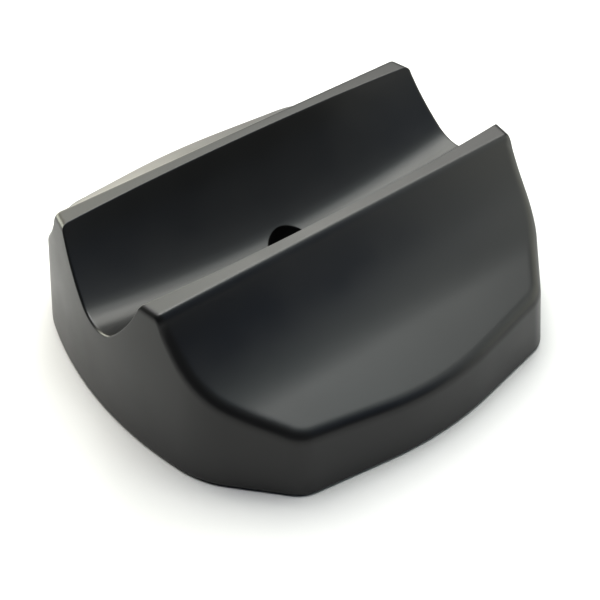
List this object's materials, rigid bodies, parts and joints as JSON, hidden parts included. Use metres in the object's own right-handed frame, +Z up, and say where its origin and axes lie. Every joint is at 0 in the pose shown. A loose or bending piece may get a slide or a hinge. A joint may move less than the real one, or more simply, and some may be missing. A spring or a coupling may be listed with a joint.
{
  "type": "bike trainer front riser block",
  "caption": "Hollow moulded block with a lengthwise tyre groove between two ridges, slanted side faces and rubber feet, that holds a bicycle's front wheel level on a trainer.",
  "frame": {"origin": "middle of the block on the floor it stands on", "axes": "+X along the groove, +Y across it, +Z up; -Y is the side face that the picture shows"},
  "size_m": [0.215, 0.2116, 0.075],
  "materials": {
    "moulded_plastic": "black, satin, with a very fine even mould texture",
    "foot_rubber": "black, matt"
  },
  "bodies": {
    "root": {"block_shell": "moulded_plastic", "foot_left_front": "foot_rubber", "foot_right_front": "foot_rubber", "foot_left_rear": "foot_rubber", "foot_right_rear": "foot_rubber"}
  },
  "joints": []
}
